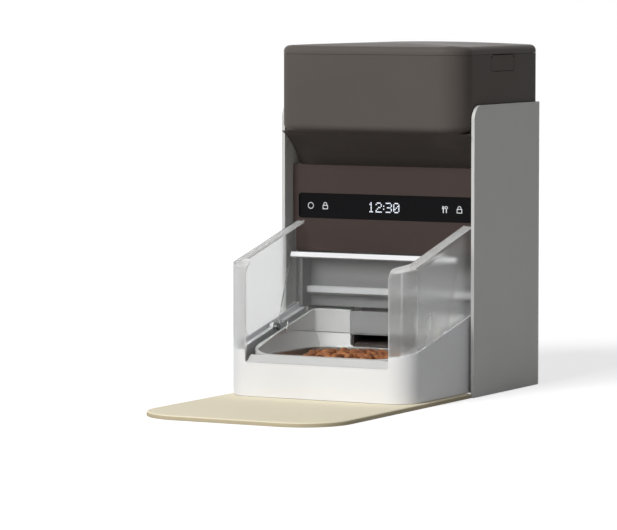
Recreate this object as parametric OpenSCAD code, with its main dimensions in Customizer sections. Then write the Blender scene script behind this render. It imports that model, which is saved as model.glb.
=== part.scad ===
// Microchip pet feeder: a food tower with a display, a bowl bay with clear guards and a flip lid, and a mat.
// The origin is on the ground, midway between the sides, in the plane of the outer cover's front edges.

/* [Outer cover] */
// Width across the outer cover
tower_w = 216; // [200:1:240]
// Depth of the outer cover
tower_d = 163; // [155:1:180]
// Height of the outer cover
cover_h = 289; // [275:1:310]
// Thickness of the outer cover
cover_t = 3.4; // [2.4:0.1:4]
// Radius of the cover's two rear upright corners
cover_rear_r = 15; // [8:1:20]
// Radius of the cover's top front corners, seen from the side
cover_nose_r = 15; // [5:1:25]
// Gap between the outer cover and what stands inside it
cover_gap = 0.6; // [0.3:0.1:1]

/* [Food housing] */
// Height of the housing's underside at the front
housing_z = 261; // [250:1:270]
// Height of the seam between housing and top lid
seam_z = 338.5; // [325:0.5:345]
// How far the housing stands in front of the outer cover
overhang = 23.3; // [15:0.1:30]
// Radius of the housing's front upright corners
housing_front_r = 27; // [15:1:30]
// Radius along the housing's bottom edge
housing_edge_r = 8; // [3:1:12]
// Wall of the housing
housing_wall = 2.6; // [2:0.1:3.5]
// Radius of the hollow curve under the housing
cove_r = 80; // [60:1:90]
// How far in front of the outer cover the hollow curve has its centre
cove_y = 39; // [30:1:45]
// How far below the housing's underside the hollow curve has its centre
cove_drop = 73.7; // [60:0.1:80]

/* [Top lid] */
// Height of the lid's rim above the seam
lid_rim_h = 8.2; // [6:0.2:10]
// Extra height of the crown at the middle of the lid
lid_crown = 2.7; // [1.5:0.1:5]
// Radius along the lid's top edge
lid_edge_r = 6; // [2:0.5:6.5]
// Wall of the lid
lid_wall = 2.4; // [1.8:0.1:3]
// Seam gap between lid and housing
seam_gap = 0.3; // [0.2:0.1:0.6]
// Length of a side clip
clip_len = 53; // [40:1:70]
// Height of a side clip
clip_h = 16.6; // [12:0.2:24]
// Thickness of a side clip
clip_t = 2.2; // [1.6:0.1:2.6]
// Distance of the clip's middle from the cover's front plane
clip_y = 72.5; // [60:0.5:90]

/* [Fascia and display] */
// Setback of the fascia's face behind the cover's front plane
fascia_y = 17; // [14:0.5:22]
// Height of the fascia's top edge
fascia_top = 226; // [215:1:232]
// Height of the fascia's bottom edge
fascia_bottom = 139; // [130:1:150]
// Thickness of the fascia
fascia_t = 2.4; // [2:0.1:3]
// Width of the glossy display window
window_w = 196; // [150:1:200]
// Height of the display window
window_h = 25.5; // [20:0.5:30]
// Height of the display window's bottom edge
window_z = 172; // [165:1:180]
// Corner radius of the display window
window_r = 3.5; // [2:0.5:6]
// Thickness of the display window
window_t = 1.5; // [1:0.1:1.8]

/* [Base] */
// Gap between the base and the side walls of the outer cover
base_side = 2.4; // [1.5:0.1:6]
// How far the base stands in front of the outer cover
base_front = 129; // [115:1:140]
// Radius of the base's front upright corners
base_r = 25; // [15:1:30]
// Wall of the base
base_wall = 2.6; // [2:0.1:3.5]
// Height of the base's lower edge, where it stands on the mat
base_z = 5; // [4:0.5:8]
// Thickness of the bottom plate
plate_t = 2.6; // [2:0.1:3.5]
// Height of the front wall in the middle
step_z = 38; // [30:1:42]
// Width of the low middle part of the front wall
step_w = 158; // [140:1:165]
// Height of the base's shoulders at the front
shoulder_z = 49.8; // [46:0.2:60]
// Slope of shoulders and tray rim, up towards the tower, in degrees
rake = 13.2; // [8:0.1:15]

/* [Clear guards] */
// Thickness of the guards
guard_t = 2.6; // [1.8:0.1:3]
// Height of the guards' top at the base's front plane
guard_z = 132.6; // [110:0.2:150]
// Slope of the guards' top, in degrees
guard_rake = 14.6; // [8:0.1:18]
// Setback of the guards' rear edge behind the cover's front plane
guard_rear = 15; // [8:0.5:16]
// Radius along the guards' top edge
guard_edge_r = 5.5; // [4:0.5:12]
// Radius of the guards' top front edge, seen from the side
guard_nose_r = 12; // [6:0.5:16]
// Distance of the guards' free edge from their outer face
guard_lip = 12; // [6:0.5:16]
// Height of the rib along the guards' foot
guard_foot_h = 3.5; // [2:0.5:6]
// Thickness of the rib along the guards' foot
guard_foot_t = 1; // [0.6:0.1:1.2]

/* [Tray and bowl] */
// Room between the tray and the base's side walls, which takes the lid drive
tray_side = 13.6; // [13:0.1:20]
// Distance of the tray's front rim from the cover's front plane
tray_front = 119; // [110:1:122]
// Setback of the tray's rear wall behind the cover's front plane
tray_back = 27; // [22:1:32]
// Height of the tray's rim at its front
tray_rim_z = 45.4; // [40:0.2:50]
// Width of the tray's rim
tray_rim = 3; // [2:0.2:5]
// Distance of the bowl's flange from the tray's sides
bowl_side = 10; // [9:0.5:20]
// Length of the bowl's flange from front to back
bowl_l = 116; // [100:1:120]
// Height of the bowl's flange
bowl_z = 43.4; // [38:0.2:46]
// Depth of the bowl
bowl_depth = 26; // [18:1:30]
// Width of the bowl's flange
bowl_flange = 6; // [4:0.5:9]
// Sheet thickness of the bowl
bowl_t = 0.8; // [0.6:0.1:1.5]

/* [Flip lid] */
// Gap between the flip lid's lugs and the base's hinge ears
lug_gap = 0.8; // [0.5:0.1:2]
// Length of the flip lid from its lower edge to its bumper
flip_l = 81.5; // [70:0.5:84]
// Thickness of the flip lid
flip_t = 2.2; // [1.6:0.1:3]
// Tilt of the opened flip lid from level, in degrees
flip_tilt = 68.2; // [60:0.2:80]
// Distance of the hinge axis from the cover's front plane
hinge_y = 39.9; // [36:0.1:44]
// Height of the hinge axis
hinge_z = 65.6; // [64:0.1:70]
// Distance of the hinge axis in front of the flip lid's middle plane
hinge_off = 3.4; // [3:0.1:5]
// Distance of the hinge axis above the flip lid's lower edge
hinge_up = 2; // [1:0.1:4]
// Radius of the flip lid's hinge pins
hinge_pin_r = 1.8; // [1.2:0.1:2.2]
// Width of the rails and hinge ears inside the base's side walls
rail_w = 5.4; // [4.6:0.1:8]

/* [Lid drive] */
// Tooth module of the drive gears
gear_m = 0.6; // [0.5:0.05:0.7]
// Teeth of the gear on the flip lid
lid_teeth = 20; // [16:2:24]
// Teeth of the idler gear
idler_teeth = 40; // [30:2:46]
// Teeth of the motor's pinion
pinion_teeth = 12; // [10:2:16]
// Face width of the drive gears
gear_w = 3; // [2:0.2:4]

/* [Food bin and dispenser] */
// Wall of the food bin
bin_wall = 1.8; // [1.2:0.1:2.5]
// Height of the food bin's rim
bin_rim_z = 333; // [320:1:334]
// Width of the food bin's square outlet
outlet_w = 56; // [45:1:64]
// Distance of the dispenser's axis behind the cover's front plane
rotor_y = 95; // [88:1:104]
// Height of the dispenser's axis
rotor_z = 191; // [186:1:194]
// Inner radius of the dispenser's drum
drum_r = 30; // [26:1:32]
// Wall of the dispenser's drum
drum_wall = 2.6; // [2:0.1:3.5]
// Number of vanes on the feed rotor
vanes = 6; // [5:1:8]
// Radius of the rotor's steel shaft
shaft_r = 3; // [2:0.5:4]
// Inner width of the food chute
chute_w = 80; // [60:1:84]
// Height of the chute's mouth in the tray's rear wall
mouth_h = 11; // [8:1:14]

/* [Mat] */
// Width of the mat
mat_w = 212.8; // [200:0.2:216]
// How far the mat reaches in front of the outer cover
mat_front = 308; // [260:1:330]
// Thickness of the mat
mat_t = 4.6; // [3.5:0.1:5]
// Radius of the mat's front corners
mat_r = 50; // [20:1:70]

/* [Power and batteries] */
// Radius of one battery cell
cell_r = 16.5; // [14:0.5:17]
// Length of one battery cell
cell_l = 60; // [50:1:61.5]
// Radius of the power socket's barrel
socket_r = 5.5; // [4.5:0.1:6.5]

/* [Hidden] */
$fn = 64;

// Clearances
run_gap = 0.05;   // shaft in its bore, on the radius
part_gap = 0.3;   // between bodies that move past each other
cut = 1;          // how far a cutter reaches past the face that it opens

// Heights and places that several pieces share
cover_in_w = tower_w - 2 * cover_t;
housing_w = cover_in_w - 2 * cover_gap;
housing_back = tower_d - cover_t - cover_gap;
housing_rear_r = cover_rear_r - cover_t - cover_gap;
base_w = cover_in_w - 2 * base_side;
inner_w = base_w - 2 * base_wall;
rail_in = inner_w / 2 - rail_w;
tray_w = inner_w - 2 * tray_side;
bowl_w = tray_w - 2 * bowl_side;
flip_w = 2 * (rail_in - lug_gap);
plate_top = base_z + plate_t;
tray_floor_z = bowl_z - bowl_t;
frame_t = 2.4;
slope = tan(rake);
guard_slope = tan(guard_rake);
function shoulder(y) = shoulder_z + (y + base_front) * slope;
function tray_rim_at(y) = tray_rim_z + (y + tray_front) * slope;
function guard_top(y) = guard_z + (y + base_front) * guard_slope;

// A rounded plan outline, front corners rf and rear corners rr
module plan(w, y0, y1, rf, rr) {
    translate([-w / 2, y0 + rf]) square([w, y1 - y0 - rf - rr]);
    translate([-w / 2 + rf, y0]) square([w - 2 * rf, rf + 0.01]);
    translate([-w / 2 + rr, y1 - rr - 0.01]) square([w - 2 * rr, rr + 0.01]);
    for (s = [-1, 1]) {
        translate([s * (w / 2 - rf), y0 + rf]) circle(rf);
        translate([s * (w / 2 - rr), y1 - rr]) circle(rr);
    }
}

// A rectangle with four equal round corners, centred
module round_rect(w, h, r) {
    square([w, h - 2 * r], center = true);
    square([w - 2 * r, h], center = true);
    for (sx = [-1, 1], sy = [-1, 1]) translate([sx * (w / 2 - r), sy * (h / 2 - r)]) circle(r);
}

// Half of a wall's section, out to x = r, with its outer top and bottom edges rounded
module edge_section(r, h, top_r, bottom_r) {
    difference() {
        square([r, h]);
        if (top_r > 0) translate([r - top_r, h - top_r]) difference() {
            square(top_r + cut);
            circle(top_r);
        }
        if (bottom_r > 0) translate([r - bottom_r, bottom_r]) mirror([0, 1]) difference() {
            square(bottom_r + cut);
            circle(bottom_r);
        }
    }
}

// A slab with a rounded plan and rounded top and bottom edges, standing on z = 0
module soft_slab(w, y0, y1, h, rf, rr, top_r = 0, bottom_r = 0) {
    rs = max(min(rf, rr), top_r, bottom_r);
    for (s = [0, 1]) mirror([s, 0, 0]) {
        translate([w / 2 - rf, y0 + rf, 0]) rotate([0, 0, -90])
            rotate_extrude(angle = 90) edge_section(rf, h, top_r, bottom_r);
        translate([w / 2 - rr, y1 - rr, 0])
            rotate_extrude(angle = 90) edge_section(rr, h, top_r, bottom_r);
        translate([w / 2 - rs, y1 - rr, 0]) rotate([90, 0, 0])
            linear_extrude(y1 - rr - y0 - rf) edge_section(rs, h, top_r, bottom_r);
    }
    translate([-w / 2 + rf, y0 + rf, 0]) rotate([90, 0, 90]) mirror([1, 0, 0])
        linear_extrude(w - 2 * rf) edge_section(rf, h, top_r, bottom_r);
    translate([-w / 2 + rr, y1 - rr, 0]) rotate([90, 0, 90])
        linear_extrude(w - 2 * rr) edge_section(rr, h, top_r, bottom_r);
    translate([-w / 2 + rs, y0 + rf, 0]) cube([w - 2 * rs, y1 - rr - y0 - rf, h]);
}

// Extrudes a side view, drawn with y to the right and z up, across the width
module across(w) {
    rotate([90, 0, 90]) linear_extrude(w, center = true) children();
}

// Both mirror images of something drawn on the +X side
module both() {
    for (s = [0, 1]) mirror([s, 0, 0]) children();
}

// Outer cover: one bent sheet, open at the front
module outer_cover() {
    color("gainsboro") difference() {
        linear_extrude(cover_h) difference() {
            plan(tower_w, 0, tower_d, 0.01, cover_rear_r);
            translate([0, -cut]) plan(cover_in_w, 0, tower_d - cover_t + cut, 0.01, cover_rear_r - cover_t);
        }
        across(tower_w + 2 * cut) translate([cover_nose_r, cover_h - cover_nose_r]) difference() {
            translate([-cover_nose_r - cut, 0]) square(cover_nose_r + cut);
            circle(cover_nose_r);
        }
        translate([0, tower_d + cut, socket_z]) rotate([90, 0, 0]) cylinder(r = socket_r + part_gap, h = cover_t + 2 * cut);
    }
}

// Food housing: the brown box, its hollow underside and the neck behind the fascia
cove_low = cove_drop - (housing_z - fascia_top);
neck_front = -cove_y + sqrt(cove_r * cove_r - cove_low * cove_low);
funnel_gap = 6;
clip_recess = clip_t + 0.2;
clip_pad = 2;
clip_gap = 0.5;
bin_gap = 1;
bin_in = housing_wall + clip_pad + bin_gap;
inner_edge_r = bin_in - housing_wall;
clip_knuckle_r = 1.2;
clip_pin_r = 0.6;
clip_corner_r = 3.5;
clip_axis_x = housing_w / 2 - clip_knuckle_r - part_gap;
clip_axis_z = seam_z - clip_knuckle_r - part_gap;
throat_w = outlet_w + 2 * bin_wall + 2 * part_gap;
module food_housing() {
    color("dimgray") difference() {
        union() {
            difference() {
                union() {
                    translate([0, 0, housing_z])
                        soft_slab(housing_w, -overhang, housing_back, seam_z - housing_z, housing_front_r, housing_rear_r,
                                  0, housing_edge_r);
                    neck_block(-overhang / 2, housing_z);
                    neck_block(2, housing_z + housing_edge_r);
                }
                across(housing_w + 2 * cut) intersection() {
                    translate([-cove_y, housing_z - cove_drop]) circle(cove_r, $fn = 96);
                    translate([-overhang, 0]) square([tower_d, housing_z]);
                }
                translate([0, 0, housing_z + housing_wall])
                    soft_slab(housing_w - 2 * housing_wall, -overhang + housing_wall, housing_back - housing_wall,
                              seam_z - housing_z, housing_front_r - housing_wall, housing_rear_r - housing_wall,
                              0, inner_edge_r);
                translate([0, 0, fascia_top + housing_wall]) linear_extrude(housing_z - fascia_top)
                    plan(housing_w - 2 * housing_wall - 2 * funnel_gap, neck_front + housing_wall,
                         housing_back - housing_wall - funnel_gap, 4, 4);
            }
            both() translate([housing_w / 2 - housing_wall - clip_pad, clip_y - clip_len / 2 - clip_pad - clip_gap,
                              seam_z - clip_h - 2 * clip_pad])
                cube([clip_pad + 0.5, clip_len + 2 * clip_pad + 2 * clip_gap, clip_h + 2 * clip_pad]);
        }
        translate([-throat_w / 2, rotor_y - throat_w / 2, fascia_top - cut]) cube([throat_w, throat_w, housing_wall + 2 * cut]);
        both() {
            translate([housing_w / 2 - clip_recess, clip_y, seam_z]) rotate([90, 0, 90]) linear_extrude(clip_recess + cut)
                clip_outline(clip_gap, cut);
            translate([clip_axis_x - clip_knuckle_r - part_gap, clip_y - clip_len / 2 - clip_gap, clip_axis_z - 2 * clip_knuckle_r])
                cube([2 * clip_knuckle_r, clip_len + 2 * clip_gap, 4 * clip_knuckle_r]);
        }
    }
}

// Side view of a clip, grown by g, from its round lower corners up to the height above the seam
module clip_outline(g, above) {
    r = clip_corner_r + g;
    w = clip_len + 2 * g;
    translate([-w / 2, -clip_h - g + r]) square([w, clip_h + g - r + above]);
    translate([-w / 2 + r, -clip_h - g]) square([w - 2 * r, r + 0.01]);
    for (s = [-1, 1]) translate([s * (w / 2 - r), -clip_h - g + r]) circle(r);
}

// The neck under the housing, from the plane y0 back and up to the height top
module neck_block(y0, top) {
    translate([0, 0, fascia_top]) linear_extrude(top - fascia_top) plan(housing_w, y0, housing_back, 0.01, housing_rear_r);
}

// Top lid: crowned shell that lifts off, with lugs on each side that carry its clip
lid_z = seam_z + seam_gap;
lid_mid_y = (housing_back - overhang) / 2;
crown_in = 1;
crown_half_x = housing_w / 2 - lid_edge_r - crown_in;
crown_half_y = (housing_back + overhang) / 2 - lid_edge_r - crown_in;
crown_base = 1.2;
lug_w = 2.4;
module top_lid() {
    color("dimgray") difference() {
        union() {
            difference() {
                union() {
                    translate([0, 0, lid_z])
                        soft_slab(housing_w, -overhang, housing_back, lid_rim_h, housing_front_r, housing_rear_r, lid_edge_r);
                    lid_crown_form();
                }
                translate([0, 0, lid_z - cut]) linear_extrude(lid_rim_h - lid_wall + cut)
                    plan(housing_w - 2 * lid_wall, -overhang + lid_wall, housing_back - lid_wall,
                         housing_front_r - lid_wall, housing_rear_r - lid_wall);
            }
            lid_ring();
            both() for (s = [-1, 1]) translate([clip_axis_x, clip_y + s * (clip_len - lug_w) / 2, clip_axis_z]) {
                translate([-clip_knuckle_r, -lug_w / 2, 0]) cube([2 * clip_knuckle_r, lug_w, lid_z - clip_axis_z + lid_wall / 2]);
                rotate([90, 0, 0]) cylinder(r = clip_knuckle_r, h = lug_w, center = true);
            }
        }
        both() translate([clip_axis_x, clip_y + clip_len / 2 + cut, clip_axis_z]) rotate([90, 0, 0])
            cylinder(r = clip_pin_r, h = clip_len + 2 * cut);
    }
}

// The crown: an arc across the lid's width, under a higher arc from front to back that rounds its ends
module lid_crown_form() {
    intersection() {
        translate([0, 0, lid_z + lid_rim_h - crown_base]) linear_extrude(crown_base + 2 * lid_crown)
            plan(2 * crown_half_x + crown_in, lid_mid_y - crown_half_y - crown_in / 2, lid_mid_y + crown_half_y + crown_in / 2,
                 housing_front_r - lid_edge_r, housing_rear_r - lid_edge_r);
        translate([0, lid_mid_y, lid_z + lid_rim_h]) across(housing_w) crown_arc(crown_half_y, 2 * lid_crown);
        translate([0, lid_mid_y, lid_z + lid_rim_h]) rotate([90, 0, 0]) linear_extrude(tower_d + overhang, center = true)
            crown_arc(crown_half_x, lid_crown);
    }
}
module crown_arc(half, rise) {
    steps = 28;
    r = (half * half + rise * rise) / (2 * rise);
    turn = asin(half / r);
    polygon(concat([[half + lid_edge_r, -2 * crown_base], [half + lid_edge_r, -crown_base / 2]],
                   [for (k = [0:steps]) let (a = turn * (1 - 2 * k / steps)) [r * sin(a), rise - r + r * cos(a)]],
                   [[-half - lid_edge_r, -crown_base / 2], [-half - lid_edge_r, -2 * crown_base]]));
}

// Ring under the lid that drops inside the housing and carries the seal
ring_out = housing_w - 2 * housing_wall - 2 * clip_pad - 1.6;
ring_drop = 4;
ring_t = 1.6;
module lid_ring() {
    y0 = -overhang + housing_wall + clip_pad + 0.8;
    y1 = housing_back - housing_wall - clip_pad - 0.8;
    translate([0, 0, lid_z - ring_drop]) linear_extrude(ring_drop + lid_rim_h - lid_wall) difference() {
        plan(ring_out, y0, y1, housing_front_r - housing_wall - clip_pad, 5);
        plan(ring_out - 2 * ring_t, y0 + ring_t, y1 - ring_t, housing_front_r - housing_wall - clip_pad - ring_t, 5 - ring_t);
    }
}

// Soft seal: a band round the lid's ring
seal_t = 0.6;
module lid_seal() {
    y0 = -overhang + housing_wall + clip_pad + 0.8;
    y1 = housing_back - housing_wall - clip_pad - 0.8;
    color("whitesmoke") translate([0, 0, lid_z - ring_drop]) linear_extrude(ring_drop - 0.6) difference() {
        plan(ring_out + 2 * seal_t, y0 - seal_t, y1 + seal_t, housing_front_r - housing_wall - clip_pad + seal_t, 5 + seal_t);
        plan(ring_out, y0, y1, housing_front_r - housing_wall - clip_pad, 5);
    }
}

// Desiccant box under the lid, and its grille cover
dry_w = 70;
dry_d = 46;
dry_h = 9;
dry_wall = 1.4;
dry_z = lid_z + lid_rim_h - lid_wall - dry_h;
module desiccant_box() {
    color("white") translate([-dry_w / 2, lid_mid_y - dry_d / 2, dry_z]) difference() {
        cube([dry_w, dry_d, dry_h]);
        translate([dry_wall, dry_wall, -cut]) cube([dry_w - 2 * dry_wall, dry_d - 2 * dry_wall, dry_h - dry_wall + cut]);
    }
}
slot_pitch = 5;
module desiccant_cover() {
    color("white") translate([-dry_w / 2, lid_mid_y - dry_d / 2, dry_z - dry_wall]) difference() {
        cube([dry_w, dry_d, dry_wall]);
        for (x = [slot_pitch:slot_pitch:dry_w - slot_pitch]) translate([x - 1, 5, -cut])
            cube([2, dry_d - 10, dry_wall + 2 * cut]);
    }
}

// Side clip, drawn for the +X side: a flap that hangs from its knuckle between the lid's two lugs
module clip_flap() {
    knuckle_l = clip_len - 2 * lug_w - 2 * part_gap;
    difference() {
        union() {
            translate([housing_w / 2 - clip_t, clip_y, seam_z]) rotate([90, 0, 90]) linear_extrude(clip_t)
                clip_outline(0, clip_axis_z - seam_z);
            translate([clip_axis_x, clip_y + knuckle_l / 2, clip_axis_z]) rotate([90, 0, 0])
                cylinder(r = clip_knuckle_r, h = knuckle_l);
        }
        for (s = [-1, 1]) translate([housing_w / 2 - clip_t - cut, clip_y + s * (knuckle_l + clip_len) / 2 - clip_len / 2,
                                     clip_axis_z - clip_knuckle_r - part_gap])
            cube([clip_t + 2 * cut, clip_len, clip_len]);
        translate([clip_axis_x, clip_y + clip_len / 2 + cut, clip_axis_z]) rotate([90, 0, 0])
            cylinder(r = clip_pin_r + run_gap, h = clip_len + 2 * cut);
    }
}
module lid_clip_right() {
    color("dimgray") clip_flap();
}
module lid_clip_left() {
    color("dimgray") mirror([1, 0, 0]) clip_flap();
}
module clip_pins() {
    color("silver") both() translate([clip_axis_x, clip_y + clip_len / 2, clip_axis_z]) rotate([90, 0, 0])
        cylinder(r = clip_pin_r, h = clip_len);
}

// Food bin: a box with a hipped funnel down to a square outlet
bin_w = housing_w - 2 * bin_in;
bin_y0 = -overhang + bin_in;
bin_y1 = housing_back - bin_in;
bin_rear_r = 8;
throat_h = 8;
funnel_z = housing_z + housing_wall;
neck_y0 = neck_front + housing_wall + bin_gap;
neck_y1 = housing_back - housing_wall - funnel_gap - bin_gap;
neck_w = housing_w - 2 * housing_wall - 2 * funnel_gap - 2 * bin_gap;
outlet_z = fascia_top;
module bin_form(t) {
    translate([0, 0, funnel_z]) linear_extrude(bin_rim_z - funnel_z)
        plan(bin_w - 2 * t, bin_y0 + t, bin_y1 - t, housing_front_r - bin_in - t, bin_rear_r - t);
    o = outlet_w / 2 + bin_wall - t;
    intersection() {
        across(bin_w) polygon([[neck_y0 + t, funnel_z], [rotor_y - o, outlet_z + throat_h], [rotor_y - o, outlet_z],
                               [rotor_y + o, outlet_z], [rotor_y + o, outlet_z + throat_h], [neck_y1 - t, funnel_z]]);
        translate([0, (neck_y0 + neck_y1) / 2, 0]) rotate([90, 0, 0]) linear_extrude(tower_d, center = true)
            polygon([[-neck_w / 2 + t, funnel_z], [-o, outlet_z + throat_h], [-o, outlet_z], [o, outlet_z], [o, outlet_z + throat_h],
                     [neck_w / 2 - t, funnel_z]]);
    }
}
module food_bin() {
    color("lightgray", 0.6) difference() {
        bin_form(0);
        intersection() {
            bin_form(bin_wall);
            translate([0, 0, funnel_z + bin_wall]) linear_extrude(bin_rim_z) plan(tower_w, -overhang, tower_d, 1, 1);
        }
        bin_throat();
    }
}
module bin_throat() {
    t = bin_wall;
    o = outlet_w / 2;
    intersection() {
        across(bin_w) polygon([[neck_y0 + 2 * t, funnel_z + t + 0.1], [neck_y0 + 2 * t, funnel_z], [rotor_y - o, outlet_z + throat_h],
                               [rotor_y - o, outlet_z - cut], [rotor_y + o, outlet_z - cut], [rotor_y + o, outlet_z + throat_h],
                               [neck_y1 - 2 * t, funnel_z], [neck_y1 - 2 * t, funnel_z + t + 0.1]]);
        translate([0, (neck_y0 + neck_y1) / 2, 0]) rotate([90, 0, 0]) linear_extrude(tower_d, center = true)
            polygon([[-neck_w / 2 + 2 * t, funnel_z + t + 0.1], [-neck_w / 2 + 2 * t, funnel_z], [-o, outlet_z + throat_h],
                     [-o, outlet_z - cut], [o, outlet_z - cut], [o, outlet_z + throat_h], [neck_w / 2 - 2 * t, funnel_z],
                     [neck_w / 2 - 2 * t, funnel_z + t + 0.1]]);
    }
}

// Dispenser: a drum round a vaned rotor, between the bin's outlet and the chute
drum_l = outlet_w;
drum_out = drum_r + drum_wall;
drum_flange_w = throat_w + 14;
drum_top = fascia_top;
drum_bottom = rotor_z - drum_out - 3;
module drum_solid() {
    translate([-drum_l / 2 - drum_wall, rotor_y, rotor_z]) rotate([0, 90, 0]) cylinder(r = drum_out, h = drum_l + drum_wall);
    translate([-drum_l / 2 - drum_wall, rotor_y - outlet_w / 2 - drum_wall, rotor_z])
        cube([drum_l + drum_wall, outlet_w + 2 * drum_wall, drum_top - rotor_z]);
    translate([-drum_l / 2 - drum_wall, rotor_y - outlet_w / 2 + 6, drum_bottom])
        cube([drum_l + drum_wall, outlet_w - 12, rotor_z - drum_bottom]);
    translate([-drum_flange_w / 2, rotor_y - drum_flange_w / 2, drum_top - drum_wall])
        cube([drum_flange_w, drum_flange_w, drum_wall]);
}
module dispenser_drum() {
    color("whitesmoke") difference() {
        drum_solid();
        translate([-drum_l / 2, rotor_y, rotor_z]) rotate([0, 90, 0]) cylinder(r = drum_r, h = drum_l + cut);
        translate([-drum_l / 2, rotor_y - outlet_w / 2 + 2, rotor_z]) cube([drum_l, outlet_w - 4, drum_top - rotor_z + cut]);
        translate([-drum_l / 2, rotor_y - outlet_w / 2 + 8, drum_bottom - cut])
            cube([drum_l, outlet_w - 16, rotor_z - drum_bottom + cut]);
        translate([-drum_l / 2 - drum_wall - cut, rotor_y, rotor_z]) rotate([0, 90, 0])
            cylinder(r = bush_r, h = drum_wall + 2 * cut);
        for (sx = [-1, 1], sy = [-1, 1]) translate([sx * screw_span, rotor_y + sy * screw_span, drum_top - drum_wall - cut])
            cylinder(r = screw_r + 0.2, h = drum_wall + 2 * cut, $fn = 24);
    }
}
module drum_end_cap() {
    color("whitesmoke") difference() {
        translate([drum_l / 2, rotor_y, rotor_z]) rotate([0, 90, 0]) cylinder(r = drum_out - 0.6, h = drum_wall);
        translate([drum_l / 2 - cut, rotor_y, rotor_z]) rotate([0, 90, 0])
            cylinder(r = shaft_r + 0.3, h = drum_wall + 2 * cut);
    }
}
bush_r = shaft_r + 2;
module rotor_bush() {
    color("tan") difference() {
        translate([-drum_l / 2 - drum_wall, rotor_y, rotor_z]) rotate([0, 90, 0]) cylinder(r = bush_r, h = drum_wall);
        translate([-drum_l / 2 - drum_wall - cut, rotor_y, rotor_z]) rotate([0, 90, 0])
            cylinder(r = shaft_r + run_gap, h = drum_wall + 2 * cut);
    }
}
hub_r = 8;
vane_t = 2;
rotor_r = drum_r - 1;
module feed_rotor() {
    color("darkorange") translate([0, rotor_y, rotor_z]) rotate([0, 90, 0]) difference() {
        union() {
            cylinder(r = hub_r, h = drum_l - 0.6, center = true);
            for (i = [0:vanes - 1]) rotate([0, 0, 360 / vanes * (i + 0.5)])
                translate([hub_r - 2, -vane_t / 2, -drum_l / 2 + 0.7]) cube([rotor_r - hub_r + 2, vane_t, drum_l - 1.4]);
        }
        cylinder(r = shaft_r, h = drum_l, center = true);
    }
}
shaft_x0 = -drum_l / 2 - drum_wall;
motor_x = drum_l / 2 + drum_wall + 4;
module rotor_shaft() {
    color("silver") translate([shaft_x0, rotor_y, rotor_z]) rotate([0, 90, 0]) cylinder(r = shaft_r, h = motor_x - part_gap - shaft_x0);
}
motor_can_r = 13;
motor_can_l = 28;
motor_box_l = 16;
motor_box_r = 18;
module feed_motor() {
    color("gray") translate([motor_x, rotor_y, rotor_z]) rotate([0, 90, 0]) {
        cylinder(r = motor_box_r, h = motor_box_l);
        cylinder(r = motor_can_r, h = motor_box_l + motor_can_l);
    }
}
bracket_t = 3;
module motor_bracket() {
    color("whitesmoke") difference() {
        translate([drum_l / 2 + drum_wall, rotor_y - motor_box_r - bracket_t, rotor_z - motor_box_r - bracket_t])
            cube([4 + motor_box_l, 2 * motor_box_r + 2 * bracket_t, drum_top - rotor_z + motor_box_r + bracket_t - drum_wall]);
        translate([drum_l / 2 + drum_wall - cut, rotor_y, rotor_z]) rotate([0, 90, 0])
            cylinder(r = motor_box_r + 0.1, h = 4 + motor_box_l + 2 * cut);
    }
}

// Chute: from the drum's outlet down and forward to its mouth in the tray's rear wall
chute_wall = 2;
mouth_z = tray_floor_z + 1.5;
chute_top = drum_bottom;
chute_y0 = rotor_y - outlet_w / 2 + 6;
chute_y1 = rotor_y + outlet_w / 2 - 6;
chute_front = tray_back + part_gap;
chute_drop = 8;
chute_floor_l = 24;
chute_roof_l = 16;
module chute_side(t) {
    polygon([[chute_y0 + t, chute_top + (t > 0 ? cut : 0)], [chute_y1 - t, chute_top + (t > 0 ? cut : 0)],
             [chute_y1 - t, chute_top - chute_drop],
             [chute_front + chute_floor_l, mouth_z - chute_wall + t + chute_drop],
             [chute_front - (t > 0 ? cut : 0), mouth_z - chute_wall + t],
             [chute_front - (t > 0 ? cut : 0), mouth_z + mouth_h + chute_wall - t],
             [chute_front + chute_roof_l, mouth_z + mouth_h + chute_wall + 1.5 * chute_drop - t],
             [chute_y0 + t, chute_top - chute_drop - t]]);
}
module chute() {
    color("whitesmoke") difference() {
        across(chute_w + 2 * chute_wall) chute_side(0);
        across(chute_w) chute_side(chute_wall);
    }
}
cover_plate_t = 1.6;
notch_w = chute_w + 2 * chute_wall + 1;
module chute_cover() {
    color("silver") translate([-notch_w / 2 + part_gap, tray_back - tray_rim, mouth_z + mouth_h])
        cube([notch_w - 2 * part_gap, cover_plate_t, tray_rim_at(tray_back) - mouth_z - mouth_h - 1]);
}

// Fascia: brown front plate with a pocket for the display window and a shelf on top
shelf_d = 14;
shelf_w = housing_w - 2 * frame_t - 2 * part_gap;
module front_fascia() {
    color("dimgray") difference() {
        union() {
            translate([-housing_w / 2, fascia_y, fascia_bottom]) cube([housing_w, fascia_t, fascia_top - fascia_bottom]);
            for (z = [fascia_bottom, fascia_top - fascia_t]) translate([-shelf_w / 2, fascia_y, z])
                cube([shelf_w, fascia_t + shelf_d, fascia_t]);
        }
        translate([0, fascia_y + window_t, window_z + window_h / 2]) rotate([90, 0, 0])
            linear_extrude(window_t + cut) round_rect(window_w, window_h, window_r);
    }
}
module display_window() {
    color("black") translate([0, fascia_y + window_t, window_z + window_h / 2]) rotate([90, 0, 0])
        linear_extrude(window_t + 0.1) round_rect(window_w - 0.2, window_h - 0.2, window_r - 0.1);
}
board_w = window_w - 46;
board_h = window_h - 3.5;
board_t = 1.6;
chip_w = board_w / 3;
chip_h = board_h / 2;
chip_t = 5;
module display_board() {
    y = fascia_y + fascia_t;
    color("green") translate([-board_w / 2, y, window_z + (window_h - board_h) / 2]) cube([board_w, board_t, board_h]);
    color("black") translate([-chip_w / 2, y + board_t, window_z + (window_h - chip_h) / 2]) cube([chip_w, chip_t, chip_h]);
}
coil_w = housing_w - 24;
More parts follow.
